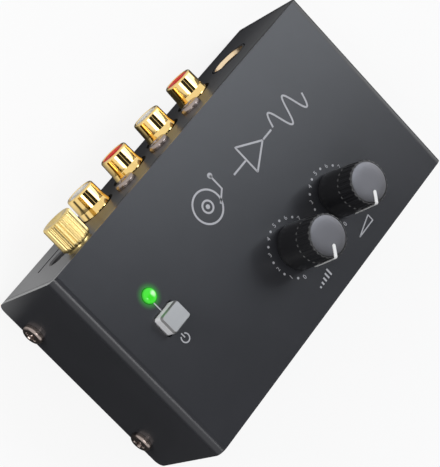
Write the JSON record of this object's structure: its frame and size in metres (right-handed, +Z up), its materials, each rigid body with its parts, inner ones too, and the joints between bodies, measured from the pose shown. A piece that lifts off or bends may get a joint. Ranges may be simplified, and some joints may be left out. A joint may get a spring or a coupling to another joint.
{
  "type": "phono preamp",
  "caption": "Small phono preamplifier: folded black steel case with gold signal jacks and a grounding post at the rear, two dialled knobs, a push switch and a green pilot lamp on top.",
  "frame": {"origin": "in the middle of the outline of the whole object, on the surface that the feet stand on", "axes": "+Z up, +Y to the rear panel with the jacks, +X to the right as seen from the front"},
  "size_m": [0.109, 0.0662, 0.0481],
  "materials": {
    "case_black": "satin black powder coat",
    "dark_nickel": "dark nickel plate",
    "rubber_black": "matte",
    "board_green": "glass-fibre laminate with solder mask",
    "brass_plain": "turned",
    "bright_steel": "bright nickel plate",
    "moulded_black": "moulded",
    "socket_grey": "moulded",
    "gold_plate": "polished gold plate",
    "insulator_white": "moulded",
    "insulator_red": "moulded",
    "mouth_brass": "turned and plated",
    "tinned_copper": "tinned",
    "wire_green": "PVC insulation",
    "post_gold": "gold plate on knurled brass",
    "rotor_cream": "moulded",
    "knob_black": "fine satin",
    "disc_satin": "satin, bead-blasted",
    "pointer_white": "filled line",
    "cap_grey": "fine satin",
    "lamp_green": "clear green epoxy, lit",
    "sleeve_navy": "shrunk sleeve",
    "film_red": "moulded box"
  },
  "bodies": {
    "case": {"cover": "case_black", "chassis": "case_black", "side_screws": "dark_nickel", "rubber_feet": "rubber_black", "main_board": "board_green", "board_standoffs": "brass_plain", "board_screws": "bright_steel", "rca_housing": "moulded_black", "rca_barrel_1": "gold_plate", "rca_barrel_2": "gold_plate", "rca_barrel_3": "gold_plate", "rca_barrel_4": "gold_plate", "rca_insulator_1": "insulator_white", "rca_insulator_2": "insulator_red", "rca_insulator_3": "insulator_white", "rca_insulator_4": "insulator_red", "rca_contact_1": "gold_plate", "rca_contact_2": "gold_plate", "rca_contact_3": "gold_plate", "rca_contact_4": "gold_plate", "panel_screws": "dark_nickel", "phone_jack_body": "moulded_black", "phone_jack_mouth": "mouth_brass", "phone_jack_springs": "bright_steel", "dc_socket_body": "socket_grey", "dc_socket_pin": "bright_steel", "dc_socket_spring": "bright_steel", "ground_bolt": "bright_steel", "ground_lug": "tinned_copper", "ground_wire": "wire_green", "level_pot_body": "moulded_black", "level_bushing": "bright_steel", "volume_pot_body": "moulded_black", "volume_bushing": "bright_steel", "switch_body": "moulded_black", "pilot_lamp": "lamp_green", "lamp_leads": "bright_steel", "lamp_spacer": "moulded_black", "op_amps": "moulded_black", "filter_capacitors": "sleeve_navy", "film_capacitors": "film_red", "resistors": "rotor_cream", "voltage_regulator": "moulded_black", "diodes": "moulded_black"},
    "level_control": {"level_shaft": "bright_steel", "level_rotor": "rotor_cream", "level_knob": "knob_black", "level_knob_disc": "disc_satin", "level_pointer": "pointer_white"},
    "volume_control": {"volume_shaft": "bright_steel", "volume_rotor": "rotor_cream", "volume_knob": "knob_black", "volume_knob_disc": "disc_satin", "volume_pointer": "pointer_white"},
    "power_button": {"switch_plunger": "rotor_cream", "power_cap": "cap_grey"},
    "post_washer": {"ground_washer": "post_gold"},
    "post_nut": {"ground_nut": "post_gold"}
  },
  "joints": [
    {"name": "level_turn", "type": "hinge", "parent": "case", "child": "level_control", "pos_m": [0.001, -0.0161, 0.0344], "axis": [0, 0, -1], "range_deg": [0, 300]},
    {"name": "volume_turn", "type": "hinge", "parent": "case", "child": "volume_control", "pos_m": [0.0204, -0.0161, 0.0344], "axis": [0, 0, -1], "range_deg": [0, 300]},
    {"name": "power_press", "type": "slide", "parent": "case", "child": "power_button", "axis": [0, 0, -1], "range_m": [0, 0.0022], "stiffness_N_per_m": 400, "springref_m": -0.004},
    {"name": "post_washer_slide", "type": "slide", "parent": "case", "child": "post_washer", "axis": [0, 1, 0], "range_m": [0, 0.0015]},
    {"name": "post_nut_turn", "type": "hinge", "parent": "post_washer", "child": "post_nut", "pos_m": [-0.0386, 0.02542, 0.0285], "axis": [0, 1, 0], "range_deg": [0, 1080]}
  ],
  "couplings": [
    {"joint": "post_nut_turn", "follows": "post_washer_slide", "rad_per_m": 12566}
  ]
}
